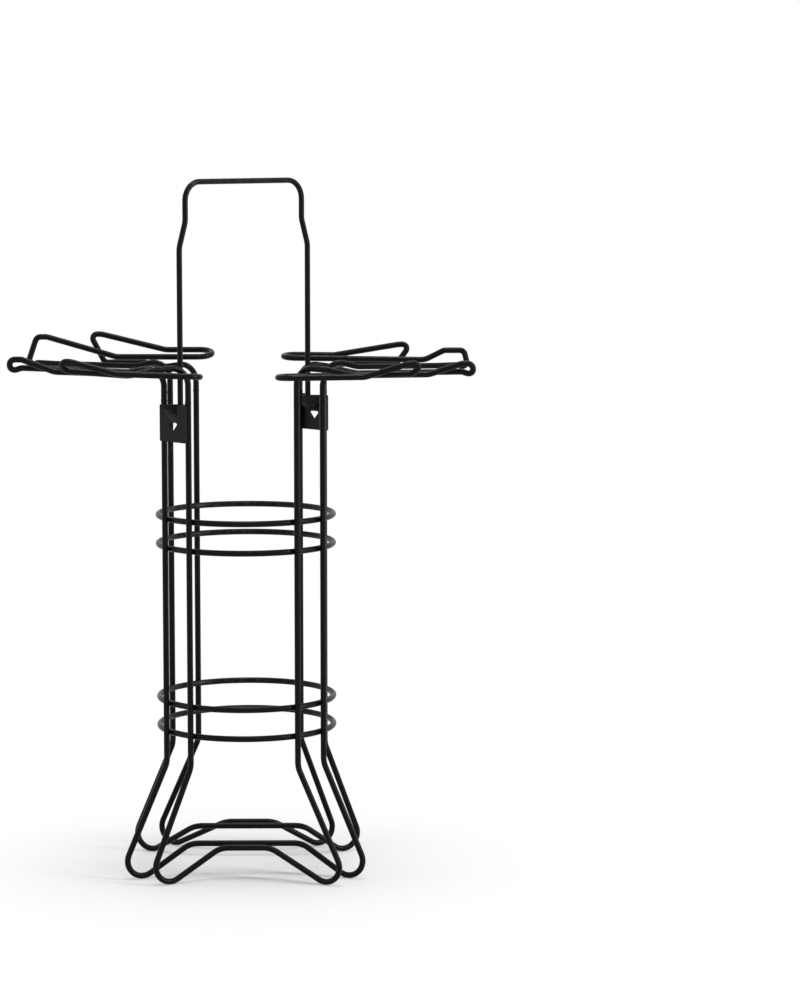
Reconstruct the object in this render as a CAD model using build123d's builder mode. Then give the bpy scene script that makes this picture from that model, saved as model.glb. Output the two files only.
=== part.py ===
from build123d import *

import os
from math import asin, atan2, cos, degrees, hypot, radians, sin, tan

os.makedirs("parts", exist_ok=True)

# A wire caddy for one bottle and four hanging stem glasses.
# The origin is on the table below the bottle, X runs right, Y runs back and Z runs up.

# Wire stock
frame_wire_diameter = 3.2
handle_wire_diameter = 3.0
weld_bite = 0.1
running_gap = 0.3

# Bottle cage
ring_radius = 46.8
lower_rings_height = 85.7
upper_rings_height = 184.3
ring_pair_spacing = 15.5
corner_bearing = 44.3
leg_pair_spacing = 19.2

# Base wires, measured in the upright plane that each leg splays in
leg_top_height = 255.2
leg_kink_height = 61.7
leg_kink_radius = 12.0
foot_bend_radius = 8.5
seat_height = 18.2
seat_bend_radius = 12.0
outer_splay_bearing = 28.0
inner_splay_bearing = 24.0
outer_seat_setback = 17.0
inner_seat_setback = 13.0

# How far the left and the right foot of each base wire reach, as the sample's are bent
foot_reaches = {
    "front_outer": (12.2, 16.2),
    "front_inner": (14.2, 14.2),
    "rear_outer": (15.7, 10.9),
    "rear_inner": (13.8, 10.9),
}

# Glass racks, as places out from the middle and away from it to the front or the rear, and as
# rises above the tops of the legs
slot_pitch = 15.0
slot_depth_place = 53.5
return_stagger = 3.5
front_gooseneck_rise = 18.6
rear_gooseneck_rise = 15.3
inner_gooseneck_rise = 18.4
gooseneck_radius = 9.0
outer_return_crossing = 45.0
outer_return_start = 58.0
front_crossing_rise = 17.9
rear_crossing_rise = 12.4
front_outer_return_rise = 15.5
rear_outer_return_rise = 14.2
long_lip_end_rise = 12.9
long_lip_hook_setback = 6.0
long_lip_hook_rise = 15.1
long_lip_shoulder_setback = 16.8
long_lip_shoulder_rise = 14.8
long_lip_shoulder_inset = 7.5
inner_return_dip = 60.0
inner_return_dip_rise = 14.2
inner_return_dip_inset = 3.0
short_lip_heel_inset = 8.1
easy_bend_radius = 10.0
lip_bend_radius = 3.0
tight_bend_radius = 2.6

# Each rack as the sample's is bent. The near arm is the one nearer the bottle and ends in the long
# lip, and the far arm in the short one. Arms climb toward the lips by some degrees. A lip slopes
# up, runs flat to its tip and drops from there, the long one with its end leaning out.
rack_bends = {
    "front_left": {
        "closed_end": 21.5, "near_arm": 14.0, "far_arm": 15.2, "climb": 2.3,
        "long_tip": 120.8, "long_flat": 6.3, "long_slope": 17.0, "long_top": 23.2, "long_lean": 0,
        "short_tip": 97.2, "short_flat": 9.2, "short_slope": 24.0, "short_top": 23.1,
    },
    "front_right": {
        "closed_end": 19.0, "near_arm": 14.2, "far_arm": 14.5, "climb": 0.9,
        "long_tip": 120.0, "long_flat": 5.5, "long_slope": 17.0, "long_top": 20.9, "long_lean": 0.8,
        "short_tip": 96.2, "short_flat": 9.2, "short_slope": 23.0, "short_top": 22.0,
    },
    "rear_left": {
        "closed_end": 20.2, "near_arm": 18.0, "far_arm": 20.9, "climb": 0,
        "long_tip": 115.6, "long_flat": 5.6, "long_slope": 38.0, "long_top": 29.0, "long_lean": 5.2,
        "short_tip": 87.5, "short_flat": 6.0, "short_slope": 35.5, "short_top": 29.6,
    },
    "rear_right": {
        "closed_end": 19.4, "near_arm": 17.4, "far_arm": 18.2, "climb": -0.9,
        "long_tip": 118.4, "long_flat": 10.9, "long_slope": 10.5, "long_top": 21.5, "long_lean": 2.4,
        "short_tip": 89.5, "short_flat": 6.5, "short_slope": 36.0, "short_top": 23.8,
    },
}

# Handle
handle_half_width = 46.0
handle_neck_half_width = 41.7
handle_height = 370.0
handle_joggle_top_drop = 20.8
handle_joggle_bottom_drop = 34.3
handle_joggle_radius = 12.0
handle_corner_radius = 10.0

# Handle brackets. Each pocket is pressed toward the bottle, wide on the side of the inner leg.
bracket_height = 19.5
bracket_bottom = 234.1
bracket_past_inner_leg = 0.8
bracket_past_outer_leg = 0.6
bracket_thickness = 1.0
bracket_corner_radius = 0.8
pocket_wide_side = 8.2
pocket_steep_side = 3.9
pocket_full_height = 2.6
pocket_seat_drop = 2.5
pocket_point_drop = 4.4
pocket_seat_wide_share = 0.6
pocket_seat_steep_share = 0.92
pocket_point_share = 0.2
pocket_point_place = 2.2
pocket_hole_half_width = 4.2
pocket_hole_height = 4.5
pocket_hole_corner_radius = 0.7
pocket_hole_lap = 0.2

frame_wire_radius = frame_wire_diameter / 2
handle_wire_radius = handle_wire_diameter / 2
leg_circle_radius = ring_radius + frame_wire_diameter - weld_bite
leg_half_angle = degrees(asin(leg_pair_spacing / 2 / leg_circle_radius))
leg_pair_plane = leg_circle_radius * cos(radians(leg_half_angle))
seat_wire_height = seat_height - frame_wire_radius
bracket_inner_face = leg_pair_plane + frame_wire_radius - weld_bite
bracket_top = bracket_bottom + bracket_height
pocket_knee = bracket_top - pocket_full_height
pocket_seat = pocket_knee - pocket_seat_drop
pocket_point = pocket_seat - pocket_point_drop


def leg_place(outer):
    """Distance out and distance forward of a leg, the outer or the inner one of its pair."""
    bearing = corner_bearing + (leg_half_angle if outer else -leg_half_angle)
    return leg_circle_radius * cos(radians(bearing)), leg_circle_radius * sin(radians(bearing))


def tangent_bearing(point, centre, radius, side):
    """Bearing of the line from a point that just touches a circle on the chosen side."""
    run, rise = centre[0] - point[0], centre[1] - point[1]
    return atan2(rise, run) + side * asin(radius / hypot(run, rise))


def crossing(first, first_bearing, second, second_bearing):
    """Point where two lines meet, each given by a point and a bearing."""
    gap_run, gap_rise = second[0] - first[0], second[1] - first[1]
    spread = sin(second_bearing - first_bearing)
    reach = (gap_run * sin(second_bearing) - gap_rise * cos(second_bearing)) / spread
    return first[0] + reach * cos(first_bearing), first[1] + reach * sin(first_bearing)


def bent_line(points, radii):
    """Straight runs joined by tangent bends, drawn into the open line."""
    corners = [Vector(*point) for point in points]
    start = corners[0]
    for before, corner, after, radius in zip(corners, corners[1:], corners[2:], radii):
        back = (before - corner).normalized()
        onward = (after - corner).normalized()
        half_angle = radians(back.get_angle(onward)) / 2
        setback = radius / tan(half_angle)
        to_bend = radius / sin(half_angle) - radius
        bend_start = corner + back * setback
        bend_end = corner + onward * setback
        Line(start, bend_start)
        ThreePointArc(bend_start, corner + (back + onward).normalized() * to_bend, bend_end)
        start = bend_end
    Line(start, corners[-1])


def round_wire(points, radii, diameter):
    """A round wire swept along its bent centre line, added to the open part."""
    with BuildLine() as centre_line:
        bent_line(points, radii)
    route = centre_line.wire()
    with BuildSketch(Plane(origin=route @ 0, z_dir=route % 0)) as section:
        Circle(diameter / 2)
    sweep(section.sketch, path=route)


# The legs and feet at both ends of one wire, and the seat rail between them
def base_wire_route(outer, front, reaches):
    out, forward = leg_place(outer)
    splay = radians(outer_splay_bearing if outer else inner_splay_bearing)
    setback = outer_seat_setback if outer else inner_seat_setback
    kink = (0, leg_kink_height)
    seat = (-setback, seat_wire_height)
    facing = -1 if front else 1
    points = []
    for side, reach in zip((-1, 1), reaches):
        foot_centre = (reach, frame_wire_radius + foot_bend_radius)
        down = tangent_bearing(kink, foot_centre, foot_bend_radius, 1)
        under = tangent_bearing(seat, foot_centre, foot_bend_radius, -1)
        stations = [(0, leg_top_height), kink, crossing(kink, down, seat, under), seat]
        one_side = [
            (side * (out + run * cos(splay)), facing * (forward + run * sin(splay)), height)
            for run, height in stations
        ]
        points += one_side[::-side]
    radii = [leg_kink_radius, foot_bend_radius, seat_bend_radius]
    return points, radii + radii[::-1]


# One glass rack. The wire leaves the outer leg, crosses the near arm and runs to the short lip,
# comes back as the far arm, turns at the slot's closed end, goes out as the near arm to the long
# lip and returns to the inner leg.
def rack_route(left, front, bend):
    outer_out, outer_away = leg_place(True)
    inner_out, inner_away = leg_place(False)
    climb = tan(radians(bend["climb"]))
    near_away = slot_depth_place - slot_pitch / 2
    far_away = slot_depth_place + slot_pitch / 2
    beside_far = far_away - return_stagger
    beside_near = near_away - return_stagger
    along = (outer_return_crossing - outer_out) / (outer_return_start - outer_out)
    crossing_away = outer_away + along * (beside_far - outer_away)
    outer_return = front_outer_return_rise if front else rear_outer_return_rise
    outer_gooseneck = front_gooseneck_rise if front else rear_gooseneck_rise
    crossing_rise = front_crossing_rise if front else rear_crossing_rise
    heel = bend["short_tip"] - short_lip_heel_inset
    short_crest = bend["short_tip"] - bend["short_flat"]
    short_foot = short_crest - bend["short_slope"]
    long_crest = bend["long_tip"] - bend["long_flat"]
    long_foot = long_crest - bend["long_slope"]
    long_end = bend["long_tip"] + bend["long_lean"]
    hook = long_end - long_lip_hook_setback
    shoulder = long_end - long_lip_shoulder_setback
    shoulder_away = near_away - long_lip_shoulder_inset
    dip = inner_return_dip
    dip_away = inner_away + inner_return_dip_inset
    slot_radius = slot_pitch / 2 - weld_bite

    def climbed(rise, out):
        return rise + climb * (out - outer_out)

    stations = [
        (outer_out, outer_away, outer_gooseneck, gooseneck_radius),
        (outer_return_crossing, crossing_away, crossing_rise, easy_bend_radius),
        (outer_return_start, beside_far, outer_return, easy_bend_radius),
        (heel, beside_far, climbed(outer_return, heel), lip_bend_radius),
        (bend["short_tip"], (beside_far + far_away) / 2, bend["short_top"], tight_bend_radius),
        (short_crest, far_away, bend["short_top"], easy_bend_radius),
        (short_foot, far_away, climbed(bend["far_arm"], short_foot), easy_bend_radius),
        (bend["closed_end"], far_away, bend["far_arm"], slot_radius),
        (bend["closed_end"], near_away, bend["near_arm"], slot_radius),
        (long_foot, near_away, climbed(bend["near_arm"], long_foot), easy_bend_radius),
        (long_crest, near_away, bend["long_top"], lip_bend_radius),
        (bend["long_tip"], near_away, bend["long_top"], lip_bend_radius),
        (long_end, beside_near, climbed(long_lip_end_rise, long_end), tight_bend_radius),
        (hook, beside_near, climbed(long_lip_hook_rise, hook), lip_bend_radius),
        (shoulder, shoulder_away, climbed(long_lip_shoulder_rise, shoulder), easy_bend_radius),
        (dip, dip_away, climbed(inner_return_dip_rise, dip), easy_bend_radius),
        (inner_out, inner_away, inner_gooseneck_rise, gooseneck_radius),
    ]
    side = -1 if left else 1
    facing = -1 if front else 1
    route = [(outer_out, outer_away, 0, 0)] + stations + [(inner_out, inner_away, 0, 0)]
    points = [(side * out, facing * away, leg_top_height + rise) for out, away, rise, _ in route]
    return points, [station[-1] for station in stations]


# One level of a bracket's pressed pocket, or with a skin, of the sheet round it. Both sides run
# from the plate's face past the handle, and a share below one draws the level in to a point.
def pocket_section(plate, level, skin, face):
    height, wide, steep, share = level
    clear_radius = handle_wire_radius + running_gap + skin
    floor = handle_half_width - clear_radius
    corners = []
    for rim, side in ((-wide - skin, -1), (steep + skin, 1)):
        down = tangent_bearing((rim, face), (0, handle_half_width), clear_radius, side)
        corners += [(rim, face), crossing((rim, face), down, (0, floor), 0)][::-side]
    outline = [
        (pocket_point_place + (place - pocket_point_place) * share, -face - (depth - face) * share)
        for place, depth in corners
    ]
    upright = Plane(origin=(0, 0, height), x_dir=plate.x_dir, z_dir=(0, 0, 1))
    with BuildSketch(upright) as section:
        with BuildLine():
            Polyline(*outline, close=True)
        make_face()
    return section.sketch


# A welded plate with a pocket that the handle's end drops into, and a hole at the pocket's point
def bracket(bearing):
    outward = Vector(cos(radians(bearing)), sin(radians(bearing)), 0)
    along = Vector(-outward.Y, outward.X, 0)
    plate = Plane(origin=outward * bracket_inner_face, x_dir=along, z_dir=outward)
    outer_face = bracket_inner_face + bracket_thickness
    middle_face = bracket_inner_face + bracket_thickness / 2
    left_edge = -leg_pair_spacing / 2 - bracket_past_inner_leg
    right_edge = leg_pair_spacing / 2 + bracket_past_outer_leg
    with BuildSketch(plate) as outline:
        with Locations(((left_edge + right_edge) / 2, bracket_bottom + bracket_height / 2)):
            RectangleRounded(right_edge - left_edge, bracket_height, bracket_corner_radius)
    extrude(outline.sketch, amount=bracket_thickness)
    seat_wide = pocket_wide_side * pocket_seat_wide_share
    seat_steep = pocket_steep_side * pocket_seat_steep_share
    levels = [
        (bracket_top, pocket_wide_side, pocket_steep_side, 1),
        (pocket_knee, pocket_wide_side, pocket_steep_side, 1),
        (pocket_seat, seat_wide, seat_steep, 1),
        (pocket_point, seat_wide, seat_steep, pocket_point_share),
    ]
    bulge = [pocket_section(plate, level, bracket_thickness, middle_face) for level in levels]
    loft(bulge, ruled=True)
    levels[0] = (bracket_top + bracket_thickness, pocket_wide_side, pocket_steep_side, 1)
    hollow = [pocket_section(plate, level, 0, outer_face + running_gap) for level in levels]
    loft(hollow, ruled=True, mode=Mode.SUBTRACT)
    hole_top = pocket_point + pocket_hole_lap
    with BuildSketch(plate) as hole:
        with BuildLine():
            Polyline(
                (-pocket_hole_half_width, hole_top),
                (0, hole_top - pocket_hole_height),
                (pocket_hole_half_width, hole_top),
                close=True,
            )
        make_face()
        fillet(hole.vertices(), pocket_hole_corner_radius)
    extrude(hole.sketch, amount=handle_half_width / 2, both=True, mode=Mode.SUBTRACT)


# The handle stands in the upright plane through both brackets
def handle_route():
    half_side = [
        (handle_half_width, pocket_seat),
        (handle_half_width, handle_height - handle_joggle_bottom_drop),
        (handle_neck_half_width, handle_height - handle_joggle_top_drop),
        (handle_neck_half_width, handle_height),
    ]
    profile = [(-reach, height) for reach, height in half_side] + half_side[::-1]
    bearing = radians(corner_bearing)
    radii = [handle_joggle_radius, handle_joggle_radius, handle_corner_radius]
    points = [(reach * cos(bearing), reach * sin(bearing), height) for reach, height in profile]
    return points, radii + radii[::-1]


pieces = {}

for front in (True, False):
    for outer in (True, False):
        place = ("front" if front else "rear") + ("_outer" if outer else "_inner")
        with BuildPart() as base_wire:
            round_wire(*base_wire_route(outer, front, foot_reaches[place]), frame_wire_diameter)
        pieces[f"base_wire_{place}"] = base_wire

for pair, pair_height in (("lower", lower_rings_height), ("upper", upper_rings_height)):
    for level, step in (("bottom", -1), ("top", 1)):
        with BuildPart() as ring:
            with Locations((0, 0, pair_height + step * ring_pair_spacing / 2)):
                Torus(ring_radius, frame_wire_radius)
        pieces[f"ring_{pair}_{level}"] = ring

for front in (True, False):
    for left in (True, False):
        place = ("front" if front else "rear") + ("_left" if left else "_right")
        with BuildPart() as glass_rack:
            round_wire(*rack_route(left, front, rack_bends[place]), frame_wire_diameter)
        pieces[f"glass_rack_{place}"] = glass_rack

for place, bearing in (("left", corner_bearing + 180), ("right", corner_bearing)):
    with BuildPart() as handle_bracket:
        bracket(bearing)
    pieces[f"handle_bracket_{place}"] = handle_bracket

with BuildPart() as handle:
    round_wire(*handle_route(), handle_wire_diameter)
pieces["handle"] = handle

for name, piece in pieces.items():
    piece.part.label = name
    export_step(piece.part, f"parts/{name}.step")
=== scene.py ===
import math

import bmesh
import bpy
from bpy.props import FloatProperty, FloatVectorProperty, IntProperty, PointerProperty
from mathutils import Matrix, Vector


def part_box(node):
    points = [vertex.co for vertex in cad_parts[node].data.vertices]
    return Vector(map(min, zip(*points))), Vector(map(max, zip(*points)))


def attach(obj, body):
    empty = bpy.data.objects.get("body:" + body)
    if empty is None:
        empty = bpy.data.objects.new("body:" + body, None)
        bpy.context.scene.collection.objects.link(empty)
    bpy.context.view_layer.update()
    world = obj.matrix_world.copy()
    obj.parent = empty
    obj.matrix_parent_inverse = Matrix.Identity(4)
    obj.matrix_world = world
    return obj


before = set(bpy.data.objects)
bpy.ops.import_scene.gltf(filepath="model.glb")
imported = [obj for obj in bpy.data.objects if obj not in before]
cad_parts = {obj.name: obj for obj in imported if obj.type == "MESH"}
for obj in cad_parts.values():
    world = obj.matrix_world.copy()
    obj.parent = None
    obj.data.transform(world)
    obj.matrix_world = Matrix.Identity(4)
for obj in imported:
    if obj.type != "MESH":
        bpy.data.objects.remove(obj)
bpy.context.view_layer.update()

bl_info = {
    "name": "Bottle Caddy",
    "version": (1, 0, 0),
    "blender": (4, 5, 0),
    "location": "View3D > Sidebar > Caddy",
    "description": "Coats and welds a wire caddy for a bottle and stem glasses",
    "category": "Object",
}

BASE_WIRES = [
    "base_wire_front_outer", "base_wire_front_inner", "base_wire_rear_outer", "base_wire_rear_inner"]
RINGS = ["ring_lower_bottom", "ring_lower_top", "ring_upper_bottom", "ring_upper_top"]
RACKS = [
    "glass_rack_front_left", "glass_rack_front_right", "glass_rack_rear_left", "glass_rack_rear_right"]
BRACKETS = {
    "handle_bracket_left": ("base_wire_front_inner", "base_wire_front_outer", -1),
    "handle_bracket_right": ("base_wire_rear_inner", "base_wire_rear_outer", 1),
}

RING_LOW, RING_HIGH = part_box("ring_upper_top")
WIRE_RADIUS = (RING_HIGH.z - RING_LOW.z) / 2
RING_RADIUS = RING_HIGH.x - WIRE_RADIUS
LEG_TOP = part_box("base_wire_front_outer")[1].z
HANDLE_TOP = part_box("handle")[1].z


# Where a leg stands: its wire is upright there, so the middle of its top end will do
def leg_axis(base_wire, side):
    ends = [v.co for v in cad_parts[base_wire].data.vertices
            if v.co.z > LEG_TOP - WIRE_RADIUS / 4 and v.co.x * side > 0]
    total = sum(ends, Vector())
    return Vector((total.x / len(ends), total.y / len(ends), 0))


LEGS = {(wire, side): leg_axis(wire, side) for wire in BASE_WIRES for side in (-1, 1)}

# The two heights or radii between which the rubbing fades in or out
FOOT_RUB = (0.0002, 0.0016)
RING_RUB = (RING_RADIUS - WIRE_RADIUS, RING_RADIUS - WIRE_RADIUS * 0.5)
RACK_RUB = (LEG_TOP + 0.01, LEG_TOP + 0.016)
HANDLE_RUB = (HANDLE_TOP - 0.014, HANDLE_TOP - 0.003)

# How far a face has to look up to be marked at all, and to be marked fully
RACK_FACING_SHARES = (0.5, 0.95)
BRACKET_FACING_SHARES = (0.3, 0.9)
DUST_FACING_SHARES = (0.35, 1.0)

# Values of the coat's unevenness from which dust and rubbed spots show, and from which fully
DUST_PATCH_SHARES = (0.42, 0.7)
DUST_SPECK_SHARES = (0.4, 0.75)
RUB_SPOT_SHARES = (0.42, 0.66)

# How strongly the top of the handle and the brackets are rubbed
HANDLE_RUB_SHARE = 0.6
BRACKET_RUB_SHARE = 0.8

# How much each mark roughens the coat, and how much rubbing smooths it
PATCH_ROUGHNESS = 0.14
GRAIN_ROUGHNESS = 0.08
DUST_ROUGHNESS = 0.18
RUB_SMOOTHNESS = 0.12

# How strongly the coat's grain and waves stand out, and the grain's height as a share of its size
GRAIN_RELIEF = 0.35
PEEL_RELIEF = 0.8
GRAIN_HEIGHT_SHARE = 1 / 12

# Loops of points that make a weld, and the shape of its bead
NUGGET_LOOPS = 7
BEAD_LOOPS = 11
COLLAR_LOOPS = 9
BEAD_OUTWARD_SHARE = 0.72
BEAD_INWARD_SHARE = 0.78
BEAD_BLUNTNESS = 0.6
RIPPLE_STEP = 2.3

# Where each lamp stands, its two lengths and its power in watts
LAMP_TARGET = (0, 0, 0.2)
LAMPS = {
    "softbox_top": ((0.1, -0.1, 1.9), (0.5, 0.5), 11.5),
    "softbox_right": ((1.5, -0.5, 0.8), (0.3, 1.5), 17.5),
    "softbox_left": ((-1.6, -0.3, 0.9), (0.5, 1.4), 2),
}

# The table top and the camera
FLOOR_SIDES = 96
FLOOR_ROUGHNESS = 0.6
FLOOR_UNEVENNESS = 0.1
FLOOR_SHINE = 0.2
SENSOR_HEIGHT = 36
CAMERA_REACH = 50


# Sizes and colours that can be changed

class CaddyCoatSettings(bpy.types.PropertyGroup):
    coat_color: FloatVectorProperty(
        name="Coat colour", description="Colour of the powder coat",
        subtype="COLOR", size=3, min=0, max=1, default=(0.0005, 0.0005, 0.0006))
    plate_color: FloatVectorProperty(
        name="Plate colour", description="Colour of the coat on the flat brackets",
        subtype="COLOR", size=3, min=0, max=1, default=(0.0096, 0.0093, 0.0124))
    dust_color: FloatVectorProperty(
        name="Dust colour", description="Colour of the dust on upward faces",
        subtype="COLOR", size=3, min=0, max=1, default=(0.045, 0.044, 0.042))
    rub_color: FloatVectorProperty(
        name="Rub colour", description="Colour of the coat where glass and hands rub it",
        subtype="COLOR", size=3, min=0, max=1, default=(0.028, 0.028, 0.03))
    roughness: FloatProperty(
        name="Roughness", description="Roughness of the satin coat",
        subtype="FACTOR", min=0, max=1, default=0.32)
    sheen_level: FloatProperty(
        name="Specular level", description="Strength of the coat's reflections",
        subtype="FACTOR", min=0, max=1, default=0.12)
    peel_size: FloatProperty(
        name="Orange peel size", description="Distance between the waves of the coat",
        unit="LENGTH", default=0.0014)
    peel_height: FloatProperty(
        name="Orange peel height", description="Height of the waves of the coat",
        unit="LENGTH", default=0.00005)
    grain_size: FloatProperty(
        name="Powder grain size", description="Size of the fine grain of the coat",
        unit="LENGTH", default=0.0003)
    patch_size: FloatProperty(
        name="Patch size", description="Size of the duller and shinier patches",
        unit="LENGTH", default=0.018)
    speck_size: FloatProperty(
        name="Speck size", description="Size of the specks of dust",
        unit="LENGTH", default=0.0011)
    spot_size: FloatProperty(
        name="Rubbed spot size", description="Size of the rubbed spots",
        unit="LENGTH", default=0.0026)
    dust_share: FloatProperty(
        name="Dust", description="How much of the dust's colour shows",
        subtype="FACTOR", min=0, max=1, default=0.55)
    rub_share: FloatProperty(
        name="Rubbing", description="How much of the rubbed colour shows",
        subtype="FACTOR", min=0, max=1, default=0.7)
    plate_dullness: FloatProperty(
        name="Plate dullness", description="How much rougher the coat of the flat brackets is",
        min=0, max=1, default=0.16)
    weld_gloss: FloatProperty(
        name="Weld gloss", description="How much smoother the coat over the welds is",
        min=0, max=1, default=0.06)


class CaddyWeldSettings(bpy.types.PropertyGroup):
    nugget_radius: FloatProperty(
        name="Spot weld radius", description="Radius of the weld where two wires cross",
        unit="LENGTH", default=0.00105)
    nugget_waist: FloatProperty(
        name="Spot weld waist", description="How much a spot weld narrows in its middle",
        subtype="FACTOR", min=0, max=1, default=0.16)
    seat_depth: FloatProperty(
        name="Seat depth", description="How far a spot weld goes into both wires",
        unit="LENGTH", default=0.00006)
    bead_length: FloatProperty(
        name="Bead length", description="Length of a bead between a leg and a bracket",
        unit="LENGTH", default=0.0052)
    bead_radius: FloatProperty(
        name="Bead radius", description="Thickness of a bead between a leg and a bracket",
        unit="LENGTH", default=0.00055)
    bead_ripple: FloatProperty(
        name="Bead ripple", description="How uneven a bead is along its length",
        subtype="FACTOR", min=0, max=1, default=0.06)
    collar_length: FloatProperty(
        name="Collar length", description="Length of the butt weld at the top of a leg",
        unit="LENGTH", default=0.0026)
    collar_height: FloatProperty(
        name="Collar height", description="How far a butt weld stands proud of the wire",
        unit="LENGTH", default=0.00013)
    collar_sink: FloatProperty(
        name="Collar sink", description="How far the ends of a butt weld lie inside the wire",
        unit="LENGTH", default=0.00001)
    segments: IntProperty(
        name="Segments", description="Divisions around each weld", min=8, max=64, default=24)


class CaddyStageSettings(bpy.types.PropertyGroup):
    camera_place: FloatVectorProperty(
        name="Camera place", description="Where the camera stands",
        subtype="TRANSLATION", default=(0.0633, -1.7481, 0.4010))
    camera_pitch: FloatProperty(
        name="Camera pitch", description="How far the camera looks down",
        subtype="ANGLE", default=math.radians(6.58))
    camera_yaw: FloatProperty(
        name="Camera yaw", description="How far the camera turns to the left",
        subtype="ANGLE", default=math.radians(-0.639))
    lens: FloatProperty(
        name="Lens", description="Focal length on a sensor 36 mm high, in millimetres",
        default=117.93)
    floor_color: FloatVectorProperty(
        name="Floor colour", description="Colour of the table top",
        subtype="COLOR", size=3, min=0, max=1, default=(0.97, 0.97, 0.97))
    floor_radius: FloatProperty(
        name="Floor radius", description="Radius of the round table top",
        unit="LENGTH", default=6.0)
    floor_clear: FloatProperty(
        name="Floor fade start", description="Distance at which the table top starts to fade",
        unit="LENGTH", default=0.0)
    floor_gone: FloatProperty(
        name="Floor fade end", description="Distance at which only the background is left",
        unit="LENGTH", default=0.17)
    floor_grain: FloatProperty(
        name="Floor grain", description="Size of the fine unevenness of the table top",
        unit="LENGTH", default=0.004)
    room_light: FloatProperty(
        name="Room light", description="Strength of the light from all round",
        min=0, default=0.33)


# Node maths as plain expressions

class Value:
    def __init__(self, shop, socket):
        self.shop = shop
        self.socket = socket

    def maths(self, operation, *values):
        return self.shop.add(
            "ShaderNodeMath", {"operation": operation}, {i: v for i, v in enumerate(values)})

    def __add__(self, other):
        return self.maths("ADD", self, other)

    def __radd__(self, other):
        return self.maths("ADD", other, self)

    def __sub__(self, other):
        return self.maths("SUBTRACT", self, other)

    def __rsub__(self, other):
        return self.maths("SUBTRACT", other, self)

    def __mul__(self, other):
        return self.maths("MULTIPLY", self, other)

    def __rmul__(self, other):
        return self.maths("MULTIPLY", other, self)

    def clamp(self):
        return self.shop.add(
            "ShaderNodeMath", {"operation": "ADD", "use_clamp": True}, {0: self, 1: 0.0})

    def ramp(self, low, high):
        return self.shop.add(
            "ShaderNodeMapRange", {"interpolation_type": "SMOOTHSTEP"},
            {"Value": self, "From Min": low, "From Max": high, "To Min": 0.0, "To Max": 1.0})


class Shop:
    def __init__(self, tree):
        self.tree = tree
        tree.nodes.clear()

    def add(self, kind, settings=None, sockets=None, output=0):
        node = self.tree.nodes.new(kind)
        for name, setting in (settings or {}).items():
            setattr(node, name, setting)
        for name, value in (sockets or {}).items():
            if isinstance(value, Value):
                self.tree.links.new(value.socket, node.inputs[name])
            else:
                node.inputs[name].default_value = value
        return Value(self, node.outputs[output]) if node.outputs else None

    def blend_color(self, share, first, second):
        return self.add(
            "ShaderNodeMix", {"data_type": "RGBA"}, {0: share, 6: first, 7: second}, output=2)

    def noise(self, place, size, detail=1.0, roughness=0.5):
        return self.add(
            "ShaderNodeTexNoise", {},
            {"Vector": place, "Scale": 1 / size, "Detail": detail, "Roughness": roughness})

    # One for rays that see the white background: the camera's, and those off metal or through glass
    def seen_white(self):
        path = self.add("ShaderNodeLightPath").socket.node.outputs
        seen = Value(self, path["Is Camera Ray"]) + Value(self, path["Is Glossy Ray"])
        return (seen + Value(self, path["Is Transmission Ray"])).clamp()

    def split(self, vector):
        node = self.add("ShaderNodeSeparateXYZ", {}, {"Vector": vector}).socket.node
        return [Value(self, output) for output in node.outputs]


def rgba(color):
    return (*color, 1.0)


# One coat of paint. The rubbed mask is a function of where a point is and which way it faces.
def powder_coat(name, color, settings, rubbed, gloss_shift=0.0):
    material = bpy.data.materials.new(name)
    material.use_nodes = True
    shop = Shop(material.node_tree)
    place = shop.add("ShaderNodeTexCoord", output=3)
    facing = shop.add("ShaderNodeNewGeometry", output=1)
    x, y, z = shop.split(place)
    upward = shop.split(facing)[2]
    peel = shop.noise(place, settings.peel_size, 1.0)
    grain = shop.noise(place, settings.grain_size, 2.0)
    patches = shop.noise(place, settings.patch_size, 3.0, 0.6)
    specks = shop.noise(place, settings.speck_size, 2.0, 0.7)
    spots = shop.noise(place, settings.spot_size, 3.0, 0.65)
    settled = upward.ramp(*DUST_FACING_SHARES)
    dust = (settled * patches.ramp(*DUST_PATCH_SHARES) * specks.ramp(*DUST_SPECK_SHARES)).clamp()
    rub = (rubbed(shop, x, y, z, upward) * spots.ramp(*RUB_SPOT_SHARES)).clamp()
    dusty = shop.blend_color(dust * settings.dust_share, rgba(color), rgba(settings.dust_color))
    paint = shop.blend_color(rub * settings.rub_share, dusty, rgba(settings.rub_color))
    roughness = (
        settings.roughness + gloss_shift
        + (patches - 0.5) * PATCH_ROUGHNESS + (grain - 0.5) * GRAIN_ROUGHNESS
        + dust * DUST_ROUGHNESS - rub * RUB_SMOOTHNESS).clamp()
    fine = shop.add(
        "ShaderNodeBump", {},
        {"Strength": GRAIN_RELIEF, "Distance": settings.grain_size * GRAIN_HEIGHT_SHARE, "Height": grain})
    bump = shop.add(
        "ShaderNodeBump", {},
        {"Strength": PEEL_RELIEF, "Distance": settings.peel_height, "Height": peel, "Normal": fine})
    surface = shop.add(
        "ShaderNodeBsdfPrincipled", {},
        {"Base Color": paint, "Roughness": roughness, "Normal": bump, "Metallic": 0.0,
         "Specular IOR Level": settings.sheen_level})
    shop.add("ShaderNodeOutputMaterial", {}, {"Surface": surface})
    return material


def give(material, obj):
    obj.data.materials.clear()
    obj.data.materials.append(material)


# All welds share one coat, which nothing rubs
def weld_coat(settings):
    return bpy.data.materials.get("weld_coat") or powder_coat(
        "weld_coat", settings.coat_color, settings,
        lambda shop, x, y, z, upward: 0.0, -settings.weld_gloss)


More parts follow.
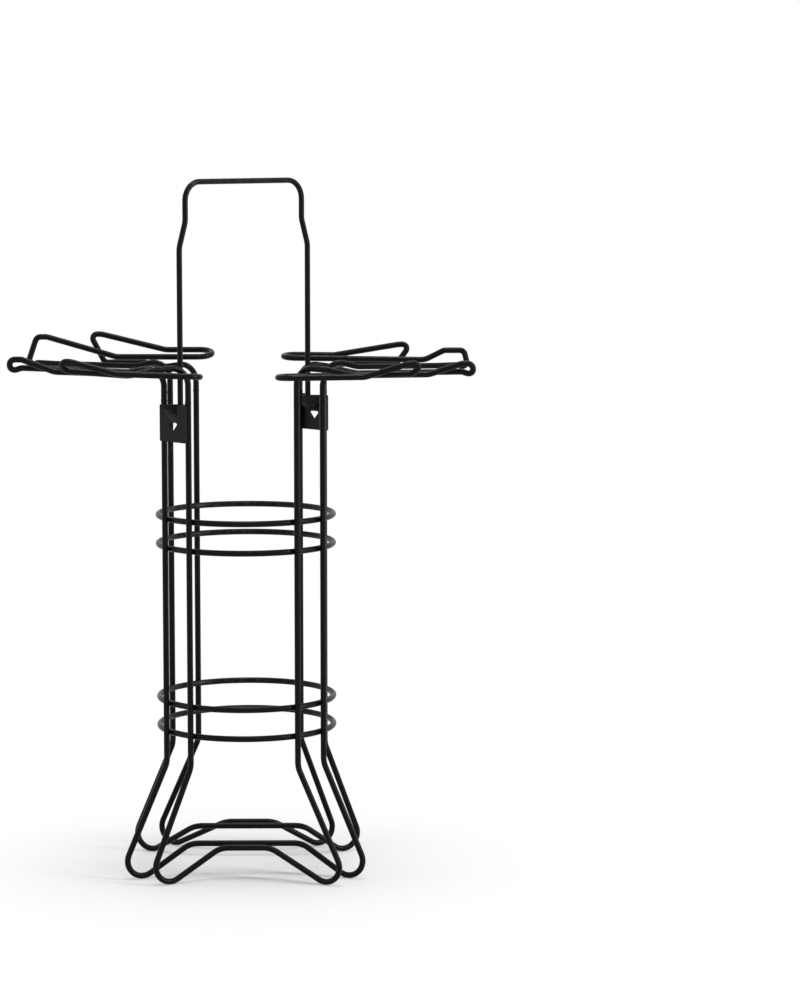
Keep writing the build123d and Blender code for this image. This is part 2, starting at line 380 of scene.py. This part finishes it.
# A stack of closed loops of points, capped at both ends
def skin(bm, loops):
    rows = [[bm.verts.new(point) for point in loop] for loop in loops]
    count = len(rows[0])
    for lower, upper in zip(rows, rows[1:]):
        for i in range(count):
            j = (i + 1) % count
            bm.faces.new((lower[i], lower[j], upper[j], upper[i]))
    bm.faces.new(rows[0][::-1])
    bm.faces.new(rows[-1])


def closed_mesh(name, fill):
    bm = bmesh.new()
    fill(bm)
    bmesh.ops.recalc_face_normals(bm, faces=bm.faces[:])
    mesh = bpy.data.meshes.new(name)
    bm.to_mesh(mesh)
    bm.free()
    return mesh


def new_piece(name, fill, material):
    mesh = closed_mesh(name, fill)
    piece = bpy.data.objects.new(name, mesh)
    bpy.context.scene.collection.objects.link(piece)
    give(material, piece)
    for polygon in mesh.polygons:
        polygon.use_smooth = True
    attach(piece, "caddy")


# The angles of the points around a weld
def turns(count):
    return [2 * math.pi * i / count for i in range(count)]


# How far a round wire's surface falls away from its nearest line
def fall(offset):
    inside = WIRE_RADIUS ** 2 - offset ** 2
    return WIRE_RADIUS - math.sqrt(max(inside, 0.0))


# The metal squeezed out between two crossing wires: a disc that widens toward both of them
def spot_weld(bm, leg, height, settings):
    outward = leg.normalized()
    along = Vector((-outward.y, outward.x, 0))
    contact = outward * ((RING_RADIUS + leg.length) / 2) + Vector((0, 0, height))
    loops = []
    for step in range(NUGGET_LOOPS):
        t = step / (NUGGET_LOOPS - 1)
        radius = settings.nugget_radius * (1 - settings.nugget_waist * math.sin(math.pi * t))
        loop = []
        for turn in turns(settings.segments):
            side = radius * math.cos(turn)
            rise = radius * math.sin(turn)
            inner = -fall(rise) - settings.seat_depth
            outer = fall(side) + settings.seat_depth
            depth = inner + (outer - inner) * t
            loop.append(contact + along * side + Vector((0, 0, rise)) + outward * depth)
        loops.append(loop)
    skin(bm, loops)


# A short fillet of weld in the corner between an upright leg and the plate that crosses the pair
def plate_bead(bm, leg, other, outward, height, settings):
    along = (other - leg).normalized()
    corner = (
        leg + outward * (WIRE_RADIUS * BEAD_OUTWARD_SHARE) + along * (WIRE_RADIUS * BEAD_INWARD_SHARE))
    loops = []
    for step in range(BEAD_LOOPS):
        t = -1 + 2 * (step + 0.5) / BEAD_LOOPS
        ripple = 1 + settings.bead_ripple * math.sin(step * RIPPLE_STEP)
        radius = settings.bead_radius * math.sqrt(1 - t * t) ** BEAD_BLUNTNESS * ripple
        loops.append([
            corner + Vector((0, 0, height + t * settings.bead_length / 2))
            + outward * (radius * math.cos(turn)) + along * (radius * math.sin(turn))
            for turn in turns(settings.segments)])
    skin(bm, loops)


# The thin swelling where two wire ends are butted and welded
def butt_collar(bm, leg, settings):
    loops = []
    for step in range(COLLAR_LOOPS):
        t = 2 * step / (COLLAR_LOOPS - 1) - 1
        swelling = settings.collar_height * (math.cos(math.pi * t) + 1) / 2
        radius = WIRE_RADIUS + swelling - settings.collar_sink
        loops.append([
            leg + Vector((radius * math.cos(turn), radius * math.sin(turn),
                          LEG_TOP + t * settings.collar_length / 2))
            for turn in turns(settings.segments)])
    skin(bm, loops)


class CADDY_OT_coat_cage(bpy.types.Operator):
    """Coat the base wires and the rings of the bottle cage"""
    bl_idname = "caddy.coat_cage"
    bl_label = "Coat the cage"

    def execute(self, context):
        settings = context.scene.caddy_coat
        feet = powder_coat(
            "base_wire_coat", settings.coat_color, settings,
            lambda shop, x, y, z, upward: 1 - z.ramp(*FOOT_RUB))

        def bottle_side(shop, x, y, z, upward):
            reach = shop.add("ShaderNodeMath", {"operation": "SQRT"}, {0: x * x + y * y})
            return 1 - reach.ramp(*RING_RUB)

        rings = powder_coat("ring_coat", settings.coat_color, settings, bottle_side)
        for name in BASE_WIRES:
            give(feet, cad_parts[name])
        for name in RINGS:
            give(rings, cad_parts[name])
        return {"FINISHED"}


class CADDY_OT_coat_racks(bpy.types.Operator):
    """Coat the glass racks, with rubbing on top where the feet of the glasses slide"""
    bl_idname = "caddy.coat_racks"
    bl_label = "Coat the glass racks"

    def execute(self, context):
        settings = context.scene.caddy_coat
        coat = powder_coat(
            "rack_coat", settings.coat_color, settings,
            lambda shop, x, y, z, upward: upward.ramp(*RACK_FACING_SHARES) * z.ramp(*RACK_RUB))
        for name in RACKS:
            give(coat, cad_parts[name])
        return {"FINISHED"}


class CADDY_OT_coat_handle(bpy.types.Operator):
    """Coat the handle and its two brackets"""
    bl_idname = "caddy.coat_handle"
    bl_label = "Coat the handle and brackets"

    def execute(self, context):
        settings = context.scene.caddy_coat
        bar = powder_coat(
            "handle_coat", settings.coat_color, settings,
            lambda shop, x, y, z, upward: z.ramp(*HANDLE_RUB) * HANDLE_RUB_SHARE)
        plate = powder_coat(
            "bracket_coat", settings.plate_color, settings,
            lambda shop, x, y, z, upward: upward.ramp(*BRACKET_FACING_SHARES) * BRACKET_RUB_SHARE,
            settings.plate_dullness)
        give(bar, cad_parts["handle"])
        for name in BRACKETS:
            give(plate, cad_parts[name])
        return {"FINISHED"}


class CADDY_OT_weld_rings(bpy.types.Operator):
    """Weld every ring to the eight legs"""
    bl_idname = "caddy.weld_rings"
    bl_label = "Weld the rings"

    def execute(self, context):
        settings = context.scene.caddy_weld
        coat = weld_coat(context.scene.caddy_coat)
        for ring in RINGS:
            low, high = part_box(ring)
            height = (low.z + high.z) / 2

            def fill(bm):
                for leg in LEGS.values():
                    spot_weld(bm, leg, height, settings)

            new_piece(f"welds_{ring}", fill, coat)
        return {"FINISHED"}


class CADDY_OT_weld_brackets(bpy.types.Operator):
    """Weld both handle brackets to their pairs of legs"""
    bl_idname = "caddy.weld_brackets"
    bl_label = "Weld the brackets"

    def execute(self, context):
        settings = context.scene.caddy_weld
        coat = weld_coat(context.scene.caddy_coat)
        for bracket, (inner, outer, side) in BRACKETS.items():
            low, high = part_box(bracket)
            pair = [LEGS[inner, side], LEGS[outer, side]]
            outward = (pair[0] + pair[1]).normalized()
            quarter = (high.z - low.z) / 4

            def fill(bm):
                for leg, other in (pair, pair[::-1]):
                    for height in (low.z + quarter, high.z - quarter):
                        plate_bead(bm, leg, other, outward, height, settings)

            new_piece(f"welds_{bracket}", fill, coat)
        return {"FINISHED"}


class CADDY_OT_weld_racks(bpy.types.Operator):
    """Butt weld the racks to the tops of the legs"""
    bl_idname = "caddy.weld_racks"
    bl_label = "Weld the racks"

    def execute(self, context):
        settings = context.scene.caddy_weld
        coat = weld_coat(context.scene.caddy_coat)
        for rack in RACKS:
            place = "front" if "front" in rack else "rear"
            side = -1 if rack.endswith("left") else 1
            pair = [LEGS[f"base_wire_{place}_{row}", side] for row in ("outer", "inner")]

            def fill(bm):
                for leg in pair:
                    butt_collar(bm, leg, settings)

            new_piece(f"welds_{rack}", fill, coat)
        return {"FINISHED"}


def soft_lamp(name, place, size, power):
    data = bpy.data.lights.new(name, "AREA")
    data.shape = "RECTANGLE"
    data.size, data.size_y = size
    data.energy = power
    lamp = bpy.data.objects.new(name, data)
    lamp.location = place
    lamp.rotation_euler = (Vector(LAMP_TARGET) - Vector(place)).to_track_quat("-Z", "Y").to_euler()
    lamp.visible_camera = False
    bpy.context.scene.collection.objects.link(lamp)


class CADDY_OT_set_stage(bpy.types.Operator):
    """Make the table top, the background, the lamps and the camera"""
    bl_idname = "caddy.set_stage"
    bl_label = "Set the stage"

    def execute(self, context):
        settings = context.scene.caddy_stage
        self.make_floor(settings)
        self.make_room(context.scene, settings)
        for name, (place, size, power) in LAMPS.items():
            soft_lamp(name, place, size, power)
        self.make_camera(context.scene, settings)
        context.scene.view_settings.view_transform = "Standard"
        return {"FINISHED"}

    def make_floor(self, settings):
        def fill(bm):
            bmesh.ops.create_circle(bm, cap_ends=True, radius=settings.floor_radius, segments=FLOOR_SIDES)

        mesh = closed_mesh("table_top", fill)
        floor = bpy.data.objects.new("table_top", mesh)
        bpy.context.scene.collection.objects.link(floor)
        material = bpy.data.materials.new("table_paint")
        material.use_nodes = True
        shop = Shop(material.node_tree)
        place = shop.add("ShaderNodeTexCoord", output=3)
        away = shop.add("ShaderNodeVectorMath", {"operation": "LENGTH"}, {0: place}, output=1)
        seen = shop.seen_white()
        grain = shop.noise(place, settings.floor_grain, 2.0)
        roughness = FLOOR_ROUGHNESS + (grain - 0.5) * FLOOR_UNEVENNESS
        surface = shop.add(
            "ShaderNodeBsdfPrincipled", {},
            {"Base Color": rgba(settings.floor_color), "Roughness": roughness,
             "Specular IOR Level": FLOOR_SHINE})
        white = shop.add("ShaderNodeEmission", {}, {"Color": (1, 1, 1, 1), "Strength": 1.0})
        share = seen * away.ramp(settings.floor_clear, settings.floor_gone)
        mixed = shop.add("ShaderNodeMixShader", {}, {0: share, 1: surface, 2: white})
        shop.add("ShaderNodeOutputMaterial", {}, {"Surface": mixed})
        give(material, floor)

    def make_room(self, scene, settings):
        world = bpy.data.worlds.new("white_room")
        world.use_nodes = True
        scene.world = world
        shop = Shop(world.node_tree)
        seen = shop.seen_white()
        strength = seen + settings.room_light * (1 - seen)
        room = shop.add("ShaderNodeBackground", {}, {"Color": (1, 1, 1, 1), "Strength": strength})
        shop.add("ShaderNodeOutputWorld", {}, {"Surface": room})

    def make_camera(self, scene, settings):
        data = bpy.data.cameras.new("camera")
        data.sensor_fit = "VERTICAL"
        data.sensor_height = SENSOR_HEIGHT
        data.lens = settings.lens
        data.clip_end = CAMERA_REACH
        camera = bpy.data.objects.new("camera", data)
        camera.location = settings.camera_place
        camera.rotation_euler = (math.pi / 2 - settings.camera_pitch, 0, settings.camera_yaw)
        scene.collection.objects.link(camera)
        scene.camera = camera


STEPS = (
    CADDY_OT_coat_cage,
    CADDY_OT_coat_racks,
    CADDY_OT_coat_handle,
    CADDY_OT_weld_rings,
    CADDY_OT_weld_brackets,
    CADDY_OT_weld_racks,
    CADDY_OT_set_stage,
)


class CADDY_PT_panel(bpy.types.Panel):
    bl_label = "Bottle Caddy"
    bl_idname = "CADDY_PT_panel"
    bl_space_type = "VIEW_3D"
    bl_region_type = "UI"
    bl_category = "Caddy"

    def draw(self, context):
        for title, name in (("Coat", "caddy_coat"), ("Welds", "caddy_weld"), ("Stage", "caddy_stage")):
            box = self.layout.box()
            box.label(text=title)
            settings = getattr(context.scene, name)
            for key in settings.__annotations__:
                box.prop(settings, key)
        for step in STEPS:
            self.layout.operator(step.bl_idname)


CLASSES = (CaddyCoatSettings, CaddyWeldSettings, CaddyStageSettings, *STEPS, CADDY_PT_panel)


def register():
    for cls in CLASSES:
        bpy.utils.register_class(cls)
    bpy.types.Scene.caddy_coat = PointerProperty(type=CaddyCoatSettings)
    bpy.types.Scene.caddy_weld = PointerProperty(type=CaddyWeldSettings)
    bpy.types.Scene.caddy_stage = PointerProperty(type=CaddyStageSettings)


def unregister():
    del bpy.types.Scene.caddy_stage
    del bpy.types.Scene.caddy_weld
    del bpy.types.Scene.caddy_coat
    for cls in reversed(CLASSES):
        bpy.utils.unregister_class(cls)


def main():
    register()
    for step in STEPS:
        group, name = step.bl_idname.split(".")
        getattr(getattr(bpy.ops, group), name)()


if __name__ == "__main__":
    main()
